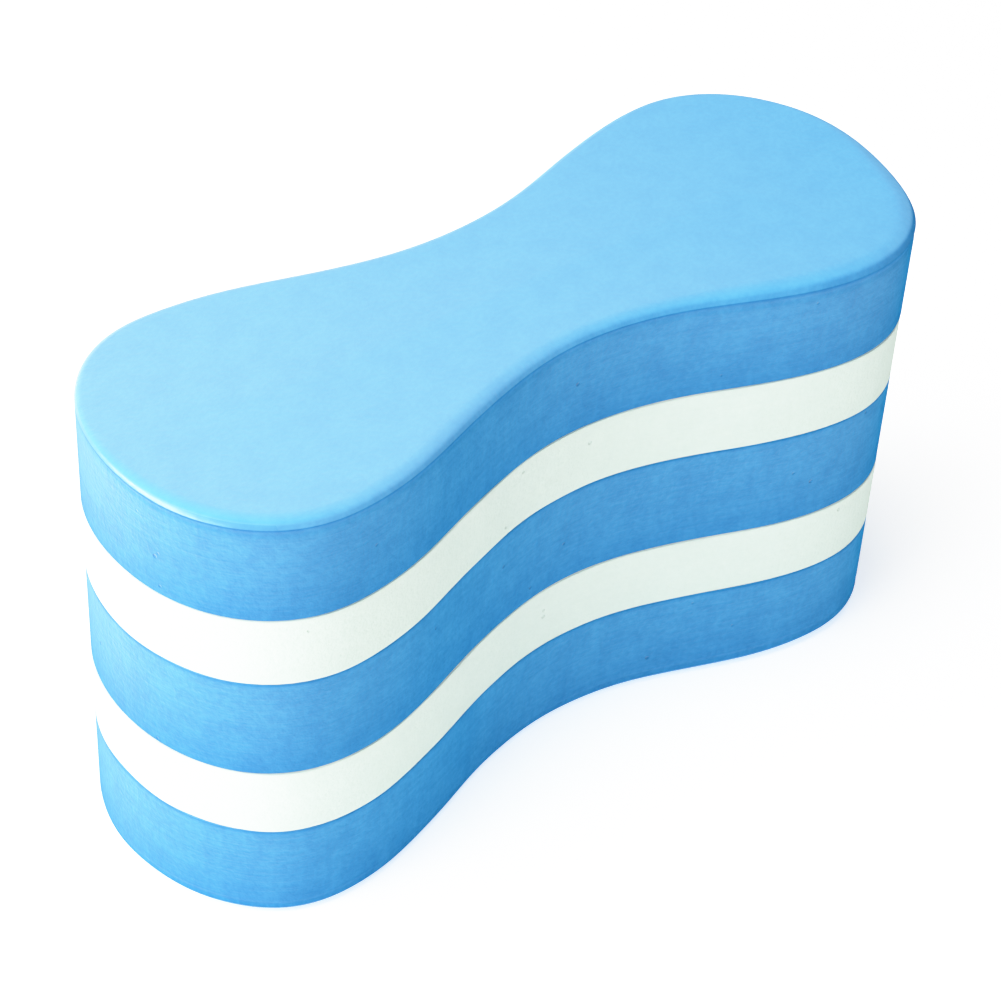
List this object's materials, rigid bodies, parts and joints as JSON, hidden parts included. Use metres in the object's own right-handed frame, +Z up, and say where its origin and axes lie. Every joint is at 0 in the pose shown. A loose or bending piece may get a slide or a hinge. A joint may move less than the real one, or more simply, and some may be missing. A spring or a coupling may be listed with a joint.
{
  "type": "pull buoy",
  "caption": "Laminated foam swimming float with two rounded lobes and a narrow waist, held between the thighs to keep the legs up.",
  "frame": {"origin": "middle of the underside, on the surface the float stands on", "axes": "+X along the float towards its slightly fuller lobe, +Y to the back across the lobes, +Z up through the stack of slabs"},
  "size_m": [0.24, 0.092, 0.13],
  "materials": {
    "blue_foam": "closed-cell EVA foam, sky blue, fine matte grain",
    "white_foam": "closed-cell EVA foam, warm white, fine matte grain",
    "dry_glue": "dried contact adhesive, thin and slightly glossy"
  },
  "bodies": {
    "root": {"bottom_blue_foam_slab": "blue_foam", "lower_white_foam_slab": "white_foam", "middle_blue_foam_slab": "blue_foam", "upper_white_foam_slab": "white_foam", "top_blue_foam_slab": "blue_foam", "glue_film_under_lower_white": "dry_glue", "glue_film_over_lower_white": "dry_glue", "glue_film_under_upper_white": "dry_glue", "glue_film_over_upper_white": "dry_glue"}
  },
  "joints": []
}
